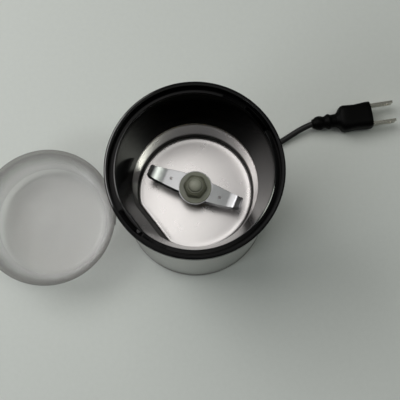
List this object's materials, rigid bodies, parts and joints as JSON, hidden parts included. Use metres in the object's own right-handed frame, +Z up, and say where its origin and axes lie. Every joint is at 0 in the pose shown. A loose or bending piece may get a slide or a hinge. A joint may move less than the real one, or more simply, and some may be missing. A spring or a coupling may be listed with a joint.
{
  "type": "electric spice grinder",
  "caption": "Round electric grinder with a steel drum, flat-sided steel bowl, two-winged blade, wound cord and a clear lid set down beside it.",
  "frame": {"origin": "centre of the rubber pad under the base, on the drive axis, at table level", "axes": "+Z up along the drive axis; +X to the right as seen by a person who faces the drum; +Y away from that person, towards the side where the cord leaves"},
  "size_m": [0.2748, 0.1263, 0.12],
  "materials": {
    "stainless_shell": "brushed",
    "black_collar": "gloss",
    "bowl_steel": "polished",
    "grey_base": "fine texture",
    "plate_plastic": "matte",
    "black_rubber": "matte",
    "screw_steel": "zinc plated",
    "bracket_metal": "cast",
    "lamination_steel": "laminated",
    "copper": "enamelled",
    "bearing_steel": "polished",
    "brass_parts": "machined",
    "carbon": "matte",
    "spring_steel": "bright",
    "fan_plastic": "satin",
    "blade_steel": "brushed",
    "hub_nut": "satin",
    "pin_plastic": "satin",
    "switch_plastic": "matte",
    "button_plastic": "satin",
    "zinc_sheet": "zinc plated",
    "brown_wire": "satin",
    "blue_wire": "satin",
    "cord_black": "satin",
    "plug_black": "satin",
    "plug_metal": "nickel plated",
    "clear_lid": "clear"
  },
  "bodies": {
    "housing": {"outer_shell": "stainless_shell", "top_collar": "black_collar", "grinding_bowl": "bowl_steel", "base_moulding": "grey_base", "base_cover": "grey_base", "mid_plate": "plate_plastic", "lower_spacers": "plate_plastic", "upper_spacers": "plate_plastic", "foot_pads": "black_rubber", "centre_pad": "black_rubber", "bowl_gasket": "black_rubber", "shaft_seal": "black_rubber", "motor_dampers": "black_rubber", "cord_gland": "black_rubber", "cover_screws": "screw_steel", "tie_screws": "screw_steel", "mount_screws": "screw_steel", "motor_bolts": "screw_steel", "motor_top_bracket": "bracket_metal", "motor_bottom_bracket": "bracket_metal", "stator_core": "lamination_steel", "field_coils": "copper", "top_bearing": "bearing_steel", "bottom_bearing": "bearing_steel", "brush_holders": "brass_parts", "brushes": "carbon", "brush_springs": "spring_steel", "pin_spring": "spring_steel", "switch_body": "switch_plastic", "switch_bracket": "zinc_sheet", "supply_wire": "brown_wire", "motor_wire": "blue_wire", "cord_lead_in": "cord_black", "cord_winding": "cord_black", "cord_free": "cord_black", "plug_relief": "cord_black", "plug_body": "plug_black", "plug_blades": "plug_metal"},
    "rotor": {"drive_shaft": "spring_steel", "armature_core": "lamination_steel", "armature_windings": "copper", "commutator": "copper", "cooling_fan": "fan_plastic", "blade_boss": "brass_parts", "blade": "blade_steel", "blade_nut": "hub_nut"},
    "pin": {"switch_pin": "pin_plastic", "switch_button": "button_plastic"},
    "lid": {"lid": "clear_lid"}
  },
  "joints": [
    {"name": "blade_spin", "type": "hinge", "parent": "housing", "child": "rotor", "pos_m": [0, 0, 0], "axis": [0, 0, 1], "continuous": true},
    {"name": "pin_press", "type": "slide", "parent": "housing", "child": "pin", "axis": [0, 0, -1], "range_m": [0, 0.003], "stiffness_N_per_m": 400, "springref_m": -0.001, "deforming": ["pin_spring"]},
    {"name": "lid_lift", "type": "slide", "parent": "housing", "child": "lid", "axis": [0, 0, 1], "range_m": [0, 0.13]}
  ]
}
